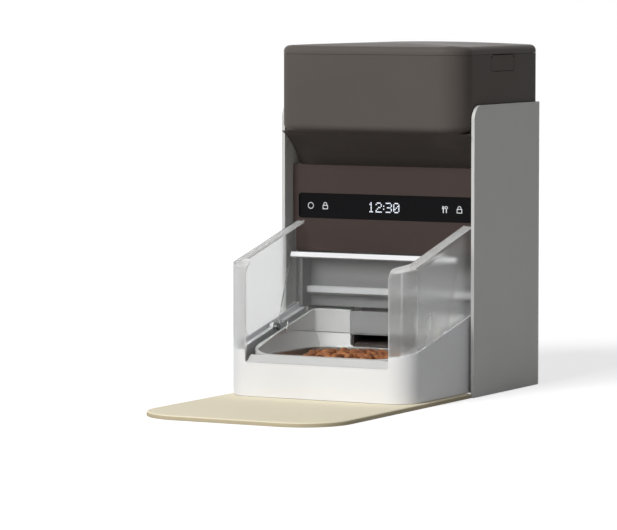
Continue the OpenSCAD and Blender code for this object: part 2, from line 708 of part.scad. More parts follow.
coil_h = fascia_top - fascia_bottom - 11;
coil_band = 4;
coil_t = 2;
module antenna_coil() {
    color("peru") translate([0, fascia_y + fascia_t + coil_t, (fascia_top + fascia_bottom) / 2]) rotate([90, 0, 0])
        linear_extrude(coil_t) difference() {
            round_rect(coil_w, coil_h, 10);
            round_rect(coil_w - 2 * coil_band, coil_h - 2 * coil_band, 10 - coil_band);
        }
}

// Recess under the fascia: liner with side flanges, and the pale trim strip across it
liner_y = 42;
liner_t = 2;
liner_w = housing_w - 12;
liner_flange_y = 29;
liner_z0 = tray_rim_at(tray_back) + 1.5;
module recess_liner() {
    color("silver") difference() {
        union() {
            translate([-liner_w / 2, fascia_y + fascia_t + 2, liner_z0])
                cube([liner_w, liner_y - fascia_y - fascia_t - 2, fascia_bottom - liner_z0]);
            translate([-housing_w / 2, liner_flange_y - liner_t, liner_z0]) cube([housing_w, liner_t, fascia_bottom - liner_z0]);
        }
        translate([-liner_w / 2 + liner_t, fascia_y, liner_z0 - cut])
            cube([liner_w - 2 * liner_t, liner_y - liner_t - fascia_y, fascia_bottom - liner_z0 + 2 * cut]);
    }
}
trim_z = 92.5;
trim_h = 8;
trim_d = 9;
module recess_trim() {
    color("white") across(liner_w - 2 * liner_t)
        polygon([[liner_y - liner_t, trim_z], [liner_y - liner_t, trim_z + trim_h + 1], [liner_y - liner_t - trim_d, trim_z + trim_h + 1],
                 [liner_y - liner_t - trim_d, trim_z + 3]]);
}

// Two upright side frames that carry the neck, the fascia and the liner
frame_x = housing_w / 2;
frame_y0 = liner_flange_y + part_gap;
frame_y1 = housing_back - housing_rear_r;
module side_frames() {
    color("whitesmoke") both() {
        translate([frame_x - frame_t, frame_y0, plate_top]) cube([frame_t, frame_y1 - frame_y0, fascia_top - plate_top]);
        translate([frame_x - frame_t - 8, frame_y1 - frame_t, plate_top]) cube([8, frame_t, fascia_top - plate_top]);
        translate([frame_x - frame_t - 8, frame_y0, plate_top]) cube([8, frame_t, liner_z0 - plate_top - 1]);
        translate([liner_w / 2, frame_y0, liner_z0 + 2]) cube([frame_x - frame_t - liner_w / 2, liner_y - frame_y0, fascia_bottom - liner_z0 - 4]);
    }
}

// Base shell: walls with raked shoulders, inner rails and the hinge ears
rail_h = 6;
ear_r = 4.2;
ear_l = rail_w - guard_foot_t - part_gap;
pin_reach = ear_l - 0.6;
base_back = tray_back - tray_rim;
boss_r = 3;
module base_shell() {
    color("white") difference() {
        union() {
            difference() {
                translate([0, 0, base_z]) linear_extrude(shoulder(base_back) - base_z)
                    plan(base_w, -base_front, base_back, base_r, 1);
                translate([0, 0, plate_top]) linear_extrude(shoulder(base_back))
                    plan(inner_w, -base_front + base_wall, base_back + cut, base_r - base_wall, 0.5);
                translate([0, 0, base_z - cut]) linear_extrude(plate_t + 2 * cut)
                    plan(inner_w, -base_front + base_wall, base_back + cut, base_r - base_wall, 0.5);
                base_top_cut();
            }
            both() {
                intersection() {
                    translate([rail_in, -base_front, 0]) cube([rail_w + 0.5, base_front + base_back, cover_h]);
                    across(base_w) polygon([[-tray_front + 6, tray_rim_at(-tray_front + 6) - rail_h + 1],
                                            [base_back, tray_rim_at(base_back) - rail_h + 1],
                                            [base_back, tray_rim_at(base_back) + 1.5],
                                            [-tray_front + 6, tray_rim_at(-tray_front + 6) + 1.5]]);
                }
                translate([rail_in, -hinge_y, hinge_z]) rotate([0, 90, 0]) cylinder(r = ear_r, h = ear_l);
                translate([rail_in, -hinge_y - ear_r, hinge_z - 2 * ear_r]) cube([rail_w + 0.5, 2 * ear_r, 2 * ear_r]);
            }
            translate([idler_x + gear_w / 2 + 0.6, -hinge_y, idler_z]) rotate([0, 90, 0])
                cylinder(r = boss_r, h = inner_w / 2 - idler_x - gear_w / 2 - 0.6 + 0.5);
        }
        both() translate([rail_in - cut, -hinge_y, hinge_z]) rotate([0, 90, 0])
            cylinder(r = hinge_pin_r + run_gap, h = pin_reach + cut);
        translate([idler_x, -hinge_y, idler_z]) rotate([0, 90, 0]) cylinder(r = idler_pin_r, h = base_w / 2 - idler_x - 1.4);
    }
}

// What is cut off the base's top: the raked plane, and the low front step with its round corners
step_r = 3;
module base_top_cut() {
    across(base_w + 2 * cut) polygon([[-base_front - cut, shoulder(-base_front - cut)], [base_back + cut, shoulder(base_back + cut)],
                                      [base_back + cut, cover_h], [-base_front - cut, cover_h]]);
    translate([0, -base_front + base_wall + cut, step_z + cover_h / 2]) rotate([90, 0, 0])
        linear_extrude(base_wall + 2 * cut) round_rect(step_w, cover_h, step_r);
}

// Bottom plate with its battery opening and two mat pegs
peg_r = 3;
peg_x = 60;
peg_y = -60;
box_w = 2 * cell_l + 8;
box_y0 = 58;
box_y1 = box_y0 + 4 * cell_r + 8;
door_t = 1.6;
module bottom_plate() {
    color("whitesmoke") difference() {
        union() {
            translate([0, 0, base_z]) linear_extrude(plate_t)
                plan(inner_w - 2 * 0.2, -base_front + base_wall + 0.2, frame_y1 + 4, base_r - base_wall - 0.2, 6);
            translate([-housing_w / 2, frame_y0, base_z]) cube([housing_w, frame_y1 - frame_y0, plate_t]);
            for (s = [-1, 1]) translate([s * peg_x, peg_y, mat_t - 3]) cylinder(r = peg_r, h = base_z - mat_t + 3.5);
        }
        translate([-box_w / 2, box_y0, base_z - cut]) cube([box_w, box_y1 - box_y0, plate_t + 2 * cut]);
        screw_places() translate([0, 0, base_z - cut]) {
            cylinder(r = screw_r + 1.4, h = 1.6 + cut, $fn = 24);
            cylinder(r = screw_r + 0.2, h = plate_t + 2 * cut, $fn = 24);
        }
    }
}
module battery_box() {
    color("whitesmoke") translate([-box_w / 2, box_y0, base_z + door_t + part_gap]) difference() {
        translate([-2, -2, plate_top - base_z - door_t - part_gap]) cube([box_w + 4, box_y1 - box_y0 + 4, 2 * cell_r + 6]);
        translate([0, 0, -cut]) cube([box_w, box_y1 - box_y0, 2 * cell_r + 5 + cut]);
    }
}
cell_z = plate_top + cell_r + 0.4;
module battery_cells() {
    color("goldenrod") for (sx = [0, 1], k = [0, 1])
        translate([sx * (cell_l + 1.5) - cell_l - 0.75, box_y0 + 2 + cell_r + k * (2 * cell_r + 4), cell_z]) rotate([0, 90, 0]) {
            cylinder(r = cell_r, h = cell_l - 1.5);
            cylinder(r = 4.5, h = cell_l);
        }
}
module battery_door() {
    color("whitesmoke") translate([-box_w / 2 + part_gap, box_y0 + part_gap, base_z]) cube([box_w - 2 * part_gap, box_y1 - box_y0 - 2 * part_gap, plate_t]);
}

// Tray: raked rim, sloping inner walls, a well for the bowl and the front apron
tray_r = 32;
notch_r = 4;
bowl_y0 = -tray_front + 8;
bowl_y1 = bowl_y0 + bowl_l;
well_gap = 0.5;
tray_bottom = plate_top;
module tray_form() {
    intersection() {
        translate([0, 0, tray_bottom]) linear_extrude(cover_h) plan(tray_w, -tray_front, tray_back, tray_r, 5);
        across(tray_w + 2 * cut) polygon([[-tray_front - cut, tray_bottom], [tray_back + cut, tray_bottom],
                                          [tray_back + cut, tray_rim_at(tray_back + cut)], [-tray_front - cut, tray_rim_at(-tray_front - cut)]]);
    }
}
module tray_hollow() {
    top = tray_rim_at(tray_back) + 2;
    intersection() {
        translate([0, 0, tray_floor_z]) linear_extrude(cover_h)
            plan(tray_w - 2 * tray_rim, -tray_front + tray_rim, tray_back - tray_rim, tray_r - tray_rim, 3);
        rotate([90, 0, 0]) linear_extrude(2 * tower_d, center = true)
            polygon([[-bowl_w / 2 - well_gap, tray_floor_z], [bowl_w / 2 + well_gap, tray_floor_z],
                     [tray_w / 2 - tray_rim, tray_rim_z + 14], [tray_w / 2 - tray_rim, top],
                     [-tray_w / 2 + tray_rim, top], [-tray_w / 2 + tray_rim, tray_rim_z + 14]]);
    }
}
module tray() {
    color("white") difference() {
        union() {
            tray_form();
            across(step_w - 1) polygon([[-tray_front + 1, tray_rim_z - 0.4], [-base_front + base_wall + part_gap, step_z + 1],
                                        [-base_front + base_wall + part_gap, step_z - 2], [-tray_front + 1, step_z - 4]]);
        }
        tray_hollow();
        translate([0, 0, tray_bottom + 2]) linear_extrude(cover_h)
            plan(bowl_w - 2 * bowl_flange + 2 * well_gap, bowl_y0 + bowl_flange - well_gap, bowl_y1 - bowl_flange + well_gap,
                 bowl_r - bowl_flange + well_gap, bowl_r - bowl_flange + well_gap);
        translate([0, tray_back + cut, mouth_z - chute_wall + cover_h / 2]) rotate([90, 0, 0])
            linear_extrude(tray_rim + 2 * cut) round_rect(notch_w, cover_h, notch_r);
        under_tray();
        screw_places() translate([0, 0, tray_bottom - cut]) cylinder(r = screw_r, h = 8.5, $fn = 24);
    }
}

// Space under the tray's side walls, which holds the lid's motor
module under_tray() {
    x = lid_motor_x - 1.5;
    both() translate([x, -tray_front + tray_r, tray_bottom - cut])
        cube([tray_w / 2 - x + cut, tray_front - tray_r + tray_back - 10, bowl_z - tray_bottom - 3]);
}

// Steel bowl: flange, straight sides and a rounded bottom edge
bowl_r = 20;
bowl_edge_r = 9;
module bowl() {
    color("silver") difference() {
        union() {
            translate([0, 0, bowl_z]) mirror([0, 0, 1])
                soft_slab(bowl_w, bowl_y0, bowl_y1, bowl_t, bowl_r, bowl_r);
            translate([0, 0, bowl_z - bowl_depth])
                soft_slab(bowl_w - 2 * bowl_flange, bowl_y0 + bowl_flange, bowl_y1 - bowl_flange, bowl_depth - bowl_t / 2,
                          bowl_r - bowl_flange, bowl_r - bowl_flange, 0, bowl_edge_r);
        }
        translate([0, 0, bowl_z - bowl_depth + bowl_t])
            soft_slab(bowl_w - 2 * bowl_flange - 2 * bowl_t, bowl_y0 + bowl_flange + bowl_t, bowl_y1 - bowl_flange - bowl_t,
                      bowl_depth, bowl_r - bowl_flange - bowl_t, bowl_r - bowl_flange - bowl_t, 0, bowl_edge_r - bowl_t);
    }
}

// Clear guards: one rounded form, hollowed, cut open in the middle and halved
module guard_form(t) {
    intersection() {
        translate([0, 0, step_z]) linear_extrude(cover_h)
            plan(base_w - 2 * t, -base_front + t, guard_rear, base_r - t, 0.5);
        guard_loft(t);
        across(base_w) guard_nose(t);
    }
}

// Side view of the rounded top front edge
module guard_nose(t) {
    r = guard_nose_r - t;
    cy = -base_front + guard_nose_r;
    cz = guard_top(cy) - guard_nose_r / cos(guard_rake);
    ty = cy - r * sin(guard_rake);
    end = guard_rear + cut;
    drop = t / cos(guard_rake);
    translate([-base_front + t, step_z]) square([end + base_front - t, cz - step_z]);
    translate([cy, cz]) circle(r);
    polygon([[ty, step_z], [end, step_z], [end, guard_top(end) - drop], [ty, guard_top(ty) - drop]]);
}

// The rounded top: a section drawn square to the slope and swept along it
module guard_loft(t) {
    r = guard_edge_r - t;
    deep = guard_z + base_front;
    translate([0, -base_front, guard_z]) rotate([guard_rake, 0, 0]) translate([0, -base_r, -deep - t])
        rotate([90, 0, 0]) mirror([0, 0, 1]) linear_extrude(2 * base_front) {
            translate([-base_w / 2 + t, 0]) square([base_w - 2 * t, deep - r]);
            translate([-base_w / 2 + t + r, 0]) square([base_w - 2 * t - 2 * r, deep]);
            for (s = [-1, 1]) translate([s * (base_w / 2 - t - r), deep - r]) circle(r);
        }
}
lip_x = base_w / 2 - guard_lip;
lip_turn_y = 8;
lip_turn_l = 20;
module guards_blank() {
    difference() {
        guard_form(0);
        difference() {
            guard_form(guard_t);
            difference() {
                shoulder_band(guard_foot_h);
                guard_form(guard_t + guard_foot_t);
            }
        }
        translate([-base_w, guard_rear - cut / 2, 0]) cube([2 * base_w, tower_d, cover_h]);
        translate([0, 0, step_z]) linear_extrude(cover_h) both() lip_outline();
        across(base_w + 2 * cut) polygon([[-base_front - cut, shoulder(-base_front - cut)], [guard_rear + cut, shoulder(guard_rear + cut)],
                                          [guard_rear + cut, 0], [-base_front - cut, 0]]);
    }
}

// The open middle between the guards, half of its plan: its side turns outward in a soft S behind the front panels
module lip_outline() {
    y1 = -base_front + lip_turn_y;
    steps = 8;
    polygon(concat([[-cut, guard_rear + cut], [-cut, -base_front - cut], [step_w / 2, -base_front - cut]],
                   [for (k = [0:steps]) [step_w / 2 + (lip_x - step_w / 2) * (1 - cos(180 * k / steps)) / 2, y1 + lip_turn_l * k / steps]],
                   [[lip_x, guard_rear + cut]]));
}

// The band of height h above the base's raked shoulders
module shoulder_band(h) {
    y0 = -base_front - cut;
    y1 = guard_rear + cut;
    across(base_w) polygon([[y0, shoulder(y0) - cut], [y1, shoulder(y1) - cut], [y1, shoulder(y1) + h], [y0, shoulder(y0) + h]]);
}
module guard_half() {
    intersection() {
        guards_blank();
        translate([0, -base_front - cut, 0]) cube([base_w, base_front + tower_d, cover_h]);
    }
}
module guard_right() {
    color("azure", 0.4) guard_half();
}
module guard_left() {
    color("azure", 0.4) mirror([1, 0, 0]) guard_half();
}

// Flip lid, drawn level from its lower edge and then tilted open: a clear panel with two hinge lugs
lug_r = 4;
lug_t = 3;
module opened() {
    translate([0, -hinge_y, hinge_z]) rotate([flip_tilt, 0, 0]) translate([0, -hinge_up, -hinge_off - flip_t / 2]) children();
}
bumper_h = 5;
bumper_d = 3.8;
bumper_w = flip_w - 3.2;
module flip_lid() {
    color("azure", 0.4) opened() difference() {
        union() {
            translate([-flip_w / 2, 0, 0]) cube([flip_w, flip_l - 2, flip_t]);
            both() {
                translate([flip_w / 2 - lug_t, 0, 0]) cube([lug_t, hinge_up + lug_r, flip_t + hinge_off - flip_t / 2]);
                translate([flip_w / 2 - lug_t, hinge_up, hinge_off + flip_t / 2]) rotate([0, 90, 0]) cylinder(r = lug_r, h = lug_t);
            }
        }
        both() {
            translate([flip_w / 2 - lug_t - cut, hinge_up, hinge_off + flip_t / 2]) rotate([0, 90, 0])
                cylinder(r = hinge_pin_r, h = lug_t + 2 * cut);
            translate([tray_w / 2 - tray_rim - 0.6, -cut, -cut])
                cube([flip_w / 2 - lug_t - tray_w / 2 + tray_rim + 0.6, hinge_up + lid_pr + gear_m + 1 + cut, flip_t + 2 * cut]);
        }
    }
}
module lid_bumper() {
    color("white") opened() difference() {
        translate([-bumper_w / 2, flip_l - bumper_h, -0.8]) cube([bumper_w, bumper_h, bumper_d + 1.6]);
        translate([-flip_w / 2 - cut, flip_l - bumper_h - cut, 0]) cube([flip_w + 2 * cut, bumper_h - 2 + cut, flip_t]);
    }
}
module hinge_pins() {
    color("silver") translate([0, -hinge_y, hinge_z]) {
        translate([-rail_in - pin_reach + 0.3, 0, 0]) rotate([0, 90, 0]) cylinder(r = hinge_pin_r, h = pin_reach + rail_in - flip_w / 2 + lug_t);
        translate([gear_x - gear_w / 2, 0, 0]) rotate([0, 90, 0]) cylinder(r = hinge_pin_r, h = rail_in + pin_reach - 0.3 - gear_x + gear_w / 2);
    }
}

// Lid drive: gear on the lid, idler and pinion, in line below each other at the right side
gear_x = flip_w / 2 - lug_t - gear_w / 2 - 0.2;
idler_x = gear_x;
lid_pr = gear_m * lid_teeth / 2;
idler_pr = gear_m * idler_teeth / 2;
pinion_pr = gear_m * pinion_teeth / 2;
mesh_gap = 0.1;
idler_z = hinge_z - lid_pr - idler_pr - mesh_gap;
pinion_z = idler_z - idler_pr - pinion_pr - mesh_gap;
idler_pin_r = 1.2;
pinion_bore_r = 1;
module spur(teeth, turn, bore) {
    pr = gear_m * teeth / 2;
    root = pr - 1.2 * gear_m;
    tip = pr + 0.9 * gear_m;
    half = 90 / teeth;
    difference() {
        linear_extrude(gear_w, center = true) difference() {
            polygon([for (i = [0:teeth - 1], k = [0:3])
                let (a = turn + 360 / teeth * i + [-1.45, -0.5, 0.5, 1.45][k] * half, r = [root, tip, tip, root][k])
                    [r * cos(a), r * sin(a)]]);
            circle(bore, $fn = 32);
        }
    }
}
module lid_gear() {
    color("ivory") translate([gear_x, -hinge_y, hinge_z]) rotate([0, 90, 0]) spur(lid_teeth, 0, hinge_pin_r);
}
module idler_gear() {
    color("ivory") translate([idler_x, -hinge_y, idler_z]) rotate([0, 90, 0])
        spur(idler_teeth, 180 / idler_teeth, idler_pin_r + run_gap);
}
module motor_pinion() {
    color("goldenrod") translate([idler_x, -hinge_y, pinion_z]) rotate([0, 90, 0]) spur(pinion_teeth, 0, pinion_bore_r);
}
module idler_axle() {
    color("silver") translate([idler_x - gear_w / 2 - 0.5, -hinge_y, idler_z]) rotate([0, 90, 0])
        cylinder(r = idler_pin_r, h = base_w / 2 - 1.4 - idler_x + gear_w / 2 + 0.5);
}
lid_motor_w = 10;
lid_motor_x = idler_x - gear_w / 2 - 0.5 - lid_motor_w;
module lid_motor() {
    color("silver") {
        translate([lid_motor_x, -hinge_y - 6, pinion_z - 6]) cube([lid_motor_w, 16, 12]);
        translate([lid_motor_x + lid_motor_w / 2, -hinge_y + 10, pinion_z]) rotate([-90, 0, 0]) cylinder(r = lid_motor_w / 2, h = 16);
        translate([lid_motor_x + lid_motor_w, -hinge_y, pinion_z]) rotate([0, 90, 0]) cylinder(r = pinion_bore_r - run_gap, h = gear_w + 0.3);
        translate([lid_motor_x, -hinge_y - 6, plate_top]) cube([lid_motor_w, 16, pinion_z - 6 - plate_top]);
    }
}

// Electronics at the rear, power socket, feet, mat and screws
main_w = housing_w / 2;
main_h = 70;
main_z = 70;
post_r = 3;
post_in = 5;
module main_board() {
    y = frame_y1 + 1;
    color("green") translate([-main_w / 2, y, main_z]) cube([main_w, board_t, main_h]);
    color("whitesmoke") for (s = [-1, 1], z = [main_z + post_in, main_z + main_h - post_in])
        translate([s * (main_w / 2 - post_in), y + board_t, z]) rotate([-90, 0, 0])
            cylinder(r = post_r, h = tower_d - cover_t - y - board_t, $fn = 24);
}
socket_z = 24;
module power_socket() {
    color("black") difference() {
        translate([0, tower_d - 0.6, socket_z]) rotate([90, 0, 0]) cylinder(r = socket_r, h = 14);
        translate([0, tower_d, socket_z]) rotate([90, 0, 0]) cylinder(r = 2.8, h = 10);
    }
    color("silver") translate([0, tower_d - 1.6, socket_z]) rotate([90, 0, 0]) cylinder(r = 1, h = 10);
}
foot_r = 7;
foot_x = 88;
foot_front = 48;
foot_rear = frame_y1 - 12;
module feet() {
    color("dimgray") for (x = [-foot_x, foot_x], y = [foot_front, foot_rear]) translate([x, y, 0]) cylinder(r = foot_r, h = base_z);
}
tongue_w = 150;
tongue_back = 30;
module mat() {
    color("tan") difference() {
        union() {
            soft_slab(mat_w, -mat_front, -cover_gap, mat_t, mat_r, 3, 2, 0.6);
            translate([-tongue_w / 2, -10, 0]) cube([tongue_w, 10 + tongue_back, mat_t]);
        }
        for (s = [-1, 1]) translate([s * peg_x, peg_y, -cut]) cylinder(r = peg_r + 0.2, h = mat_t + 2 * cut);
    }
}
screw_r = 1.4;
screw_l = 9;
screw_head_h = 1.6;
screw_x = tray_w / 2 - 26;
screw_in = 7;
screw_rear_y = tray_back - 17;
screw_span = drum_flange_w / 2 - 3.5;
module screw_places() {
    for (x = [-screw_x, screw_x], y = [-tray_front + screw_in, screw_rear_y]) translate([x, y, 0]) children();
}
module bottom_screws() {
    color("silver") screw_places() {
        translate([0, 0, base_z]) cylinder(r = screw_r + 1.2, h = screw_head_h, $fn = 24);
        translate([0, 0, base_z]) cylinder(r = screw_r, h = screw_l, $fn = 24);
    }
}
module dispenser_screws() {
    color("silver") for (sx = [-1, 1], sy = [-1, 1]) translate([sx * screw_span, rotor_y + sy * screw_span, drum_top - drum_wall - screw_head_h]) {
        cylinder(r = screw_r + 1.2, h = screw_head_h, $fn = 24);
        cylinder(r = screw_r, h = screw_head_h + drum_wall, $fn = 24);
    }
}

outer_cover();
food_housing();
top_lid();
lid_seal();
desiccant_box();
desiccant_cover();
lid_clip_left();
lid_clip_right();
clip_pins();
food_bin();
dispenser_drum();
drum_end_cap();
feed_rotor();
rotor_shaft();
rotor_bush();
feed_motor();
motor_bracket();
chute();
chute_cover();
front_fascia();
display_window();
display_board();
antenna_coil();
recess_liner();
recess_trim();
side_frames();
base_shell();
bottom_plate();
tray();
bowl();
guard_left();
guard_right();
flip_lid();
lid_bumper();
hinge_pins();
lid_gear();
idler_gear();
idler_axle();
motor_pinion();
lid_motor();
main_board();
battery_box();
battery_cells();
battery_door();
power_socket();
feet();
mat();
bottom_screws();
dispenser_screws();
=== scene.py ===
"""Looks for the pet feeder: materials on the CAD frame, display marks, kibble, light and camera."""
import math
import random

import bmesh
import bpy
from mathutils import Matrix, Vector, noise


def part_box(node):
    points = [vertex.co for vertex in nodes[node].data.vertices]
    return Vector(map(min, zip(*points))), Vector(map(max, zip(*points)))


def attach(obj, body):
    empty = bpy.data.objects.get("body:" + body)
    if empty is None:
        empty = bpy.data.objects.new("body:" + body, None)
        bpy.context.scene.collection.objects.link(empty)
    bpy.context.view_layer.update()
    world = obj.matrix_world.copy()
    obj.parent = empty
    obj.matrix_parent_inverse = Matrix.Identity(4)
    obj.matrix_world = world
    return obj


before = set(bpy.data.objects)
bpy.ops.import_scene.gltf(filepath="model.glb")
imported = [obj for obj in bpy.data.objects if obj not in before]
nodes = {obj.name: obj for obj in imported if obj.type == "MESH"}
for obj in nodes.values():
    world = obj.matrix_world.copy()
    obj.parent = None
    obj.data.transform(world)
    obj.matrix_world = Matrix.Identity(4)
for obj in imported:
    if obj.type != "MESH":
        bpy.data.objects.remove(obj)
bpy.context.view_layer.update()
MM = 0.001


def box_mm(name):
    """Lowest and highest corner of a node at rest, in millimetres."""
    low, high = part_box(name)
    return low / MM, high / MM


# Materials

# Where a noise pattern starts and stops to change the colour, and the roughness
COLOUR_SPAN = (0.35, 0.65)
ROUGH_SPAN = (0.3, 0.7)


def new_material(name):
    m = bpy.data.materials.new(name)
    m.use_nodes = True
    tree = m.node_tree
    bsdf = next(n for n in tree.nodes if n.type == "BSDF_PRINCIPLED")
    coord = tree.nodes.new("ShaderNodeTexCoord")
    return m, tree, bsdf, coord


def surface_input(tree):
    return next(n for n in tree.nodes if n.type == "OUTPUT_MATERIAL").inputs["Surface"]


def noise_node(tree, coord, scale, detail=2.0, stretch=None):
    n = tree.nodes.new("ShaderNodeTexNoise")
    n.inputs["Scale"].default_value = scale
    n.inputs["Detail"].default_value = detail
    if stretch:
        mp = tree.nodes.new("ShaderNodeMapping")
        mp.inputs["Scale"].default_value = stretch
        tree.links.new(coord.outputs["Object"], mp.inputs["Vector"])
        tree.links.new(mp.outputs["Vector"], n.inputs["Vector"])
    else:
        tree.links.new(coord.outputs["Object"], n.inputs["Vector"])
    return n


def ramp(tree, fac, low, high):
    r = tree.nodes.new("ShaderNodeValToRGB")
    for stop, place, rgb in zip(r.color_ramp.elements, COLOUR_SPAN, (low, high)):
        stop.position = place
        stop.color = (*rgb, 1)
    tree.links.new(fac, r.inputs["Fac"])
    return r.outputs["Color"]


def map_range(tree, value, span, low, high):
    r = tree.nodes.new("ShaderNodeMapRange")
    r.inputs["From Min"].default_value = span[0]
    r.inputs["From Max"].default_value = span[1]
    r.inputs["To Min"].default_value = low
    r.inputs["To Max"].default_value = high
    tree.links.new(value, r.inputs["Value"])
    return r.outputs["Result"]


def bump(tree, bsdf, height, distance, strength=1.0):
    b = tree.nodes.new("ShaderNodeBump")
    b.inputs["Strength"].default_value = strength
    b.inputs["Distance"].default_value = distance
    tree.links.new(height, b.inputs["Height"])
    tree.links.new(b.outputs["Normal"], bsdf.inputs["Normal"])


def mix_shader(tree, fac, first, second):
    """Two shaders mixed by a number or by another node's output."""
    mix = tree.nodes.new("ShaderNodeMixShader")
    if isinstance(fac, float):
        mix.inputs["Fac"].default_value = fac
    else:
        tree.links.new(fac, mix.inputs["Fac"])
    tree.links.new(first, mix.inputs[1])
    tree.links.new(second, mix.inputs[2])
    return mix.outputs["Shader"]


def shade(rgb, k):
    return tuple(min(1.0, c * k) for c in rgb)


def plastic(name, rgb, rough=0.5, grain=1400, depth=0.00002, vary=0.03, ior=1.45, gloss=0.5):
    """Moulded plastic: a fine erosion grain, slight colour drift and uneven gloss."""
    m, tree, bsdf, coord = new_material(name)
    fine = noise_node(tree, coord, grain, 3.0).outputs["Fac"]
    broad = noise_node(tree, coord, 9).outputs["Fac"]
    colour = ramp(tree, broad, shade(rgb, 1 - vary), shade(rgb, 1 + vary))
    tree.links.new(colour, bsdf.inputs["Base Color"])
    uneven = map_range(tree, broad, ROUGH_SPAN, rough - 0.04, rough + 0.04)
    tree.links.new(uneven, bsdf.inputs["Roughness"])
    bsdf.inputs["IOR"].default_value = ior
    bsdf.inputs["Specular IOR Level"].default_value = gloss
    bump(tree, bsdf, fine, depth)
    return m


def brushed(name, rgb, rough=0.28, stretch=(30, 900, 900)):
    """Metal with fine lines along X."""
    m, tree, bsdf, coord = new_material(name)
    lines = noise_node(tree, coord, 1.0, 3.0, stretch).outputs["Fac"]
    tree.links.new(ramp(tree, lines, shade(rgb, 0.92), shade(rgb, 1.06)), bsdf.inputs["Base Color"])
    uneven = map_range(tree, lines, ROUGH_SPAN, rough - 0.06, rough + 0.08)
    tree.links.new(uneven, bsdf.inputs["Roughness"])
    bsdf.inputs["Metallic"].default_value = 1.0
    bump(tree, bsdf, lines, 0.00001, 0.6)
    return m


def clear(name, rgb, haze, rough=0.04, ior=1.47):
    """Clear moulding: refracts, carries a thin veil that scatters light, and lets lamps shine through."""
    m, tree, bsdf, coord = new_material(name)
    broad = noise_node(tree, coord, 14).outputs["Fac"]
    tree.links.new(ramp(tree, broad, shade(rgb, 0.985), rgb), bsdf.inputs["Base Color"])
    uneven = map_range(tree, broad, ROUGH_SPAN, rough, rough + 0.03)
    tree.links.new(uneven, bsdf.inputs["Roughness"])
    bsdf.inputs["IOR"].default_value = ior
    bsdf.inputs["Transmission Weight"].default_value = 1.0
    front = tree.nodes.new("ShaderNodeBsdfDiffuse")
    front.inputs["Color"].default_value = (0.93, 0.93, 0.93, 1)
    behind = tree.nodes.new("ShaderNodeBsdfTranslucent")
    behind.inputs["Color"].default_value = (0.95, 0.95, 0.95, 1)
    veil = mix_shader(tree, 0.5, front.outputs["BSDF"], behind.outputs["BSDF"])
    seen = mix_shader(tree, haze, bsdf.outputs["BSDF"], veil)
    through = tree.nodes.new("ShaderNodeBsdfTransparent")
    through.inputs["Color"].default_value = (*shade(rgb, 0.9), 1)
    path = tree.nodes.new("ShaderNodeLightPath")
    lit = mix_shader(tree, path.outputs["Is Shadow Ray"], seen, through.outputs["BSDF"])
    tree.links.new(lit, surface_input(tree))
    return m


def glow(name, rgb, strength):
    """Lit marks of the display."""
    m, tree, bsdf, coord = new_material(name)
    fine = noise_node(tree, coord, 600, 1.0).outputs["Fac"]
    tree.links.new(ramp(tree, fine, shade(rgb, 0.9), rgb), bsdf.inputs["Base Color"])
    bsdf.inputs["Emission Color"].default_value = (*rgb, 1)
    bsdf.inputs["Emission Strength"].default_value = strength
    bsdf.inputs["Roughness"].default_value = 0.6
    return m


def kibble_material():
    """Dry food: brown that differs from piece to piece, with a coarse dull skin."""
    m, tree, bsdf, coord = new_material("kibble")
    broad = noise_node(tree, coord, 90, 1.0).outputs["Fac"]
    fine = noise_node(tree, coord, 900, 4.0).outputs["Fac"]
    colour = ramp(tree, broad, (0.15, 0.040, 0.010), (0.51, 0.205, 0.072))
    tree.links.new(colour, bsdf.inputs["Base Color"])
    tree.links.new(map_range(tree, fine, ROUGH_SPAN, 0.55, 0.8), bsdf.inputs["Roughness"])
    bump(tree, bsdf, fine, 0.0004)
    return m


cover = plastic("cover_grey", (0.66, 0.66, 0.64), 0.42, ior=1.3)
brown = plastic("housing_brown", (0.110, 0.096, 0.087), 0.44, ior=1.2, gloss=0.15)
lid_brown = plastic("lid_brown", (0.118, 0.103, 0.094), 0.36, ior=1.25, gloss=0.12)
fascia = plastic("fascia_brown", (0.072, 0.054, 0.049), 0.46, ior=1.2, gloss=0.15)
white = plastic("base_white", (0.835, 0.84, 0.855), 0.36)
inner = plastic("inner_white", (0.78, 0.78, 0.76), 0.5)
tray_white = plastic("tray_white", (0.62, 0.62, 0.61), 0.42)
# Painted shade: the recess liner gets a dark grey that stands for light-grey plastic in the shade of the
# recess
recess = plastic("recess_grey", (0.25, 0.25, 0.25), 0.5)
plate = plastic("plate_grey", (0.235, 0.235, 0.235), 0.5)
rubber = plastic("seal_rubber", (0.42, 0.42, 0.41), 0.75, grain=700, depth=0.00005)
mat_soft = plastic("mat_beige", (0.89, 0.815, 0.62), 0.62, grain=900, depth=0.00004, vary=0.015, ior=1.3)
# Painted shade: a darker beige for the mat's upright sides, standing in for the shade on them
mat_side_shade = plastic("mat_side_shade", (0.58, 0.50, 0.34), 0.7, grain=900, depth=0.00004, ior=1.3)
window = plastic("window_black", (0.006, 0.006, 0.007), 0.12, grain=400, depth=0.000002, ior=1.2, gloss=0.2)
board = plastic("board_green", (0.02, 0.15, 0.06), 0.35, grain=300, depth=0.0001, vary=0.15)
orange = plastic("rotor_rubber", (0.72, 0.24, 0.05), 0.6)
acetal = plastic("gear_plastic", (0.80, 0.77, 0.68), 0.45)
wrap = plastic("cell_wrap", (0.42, 0.27, 0.06), 0.3)
dark = plastic("chute_dark", (0.045, 0.036, 0.032), 0.5)
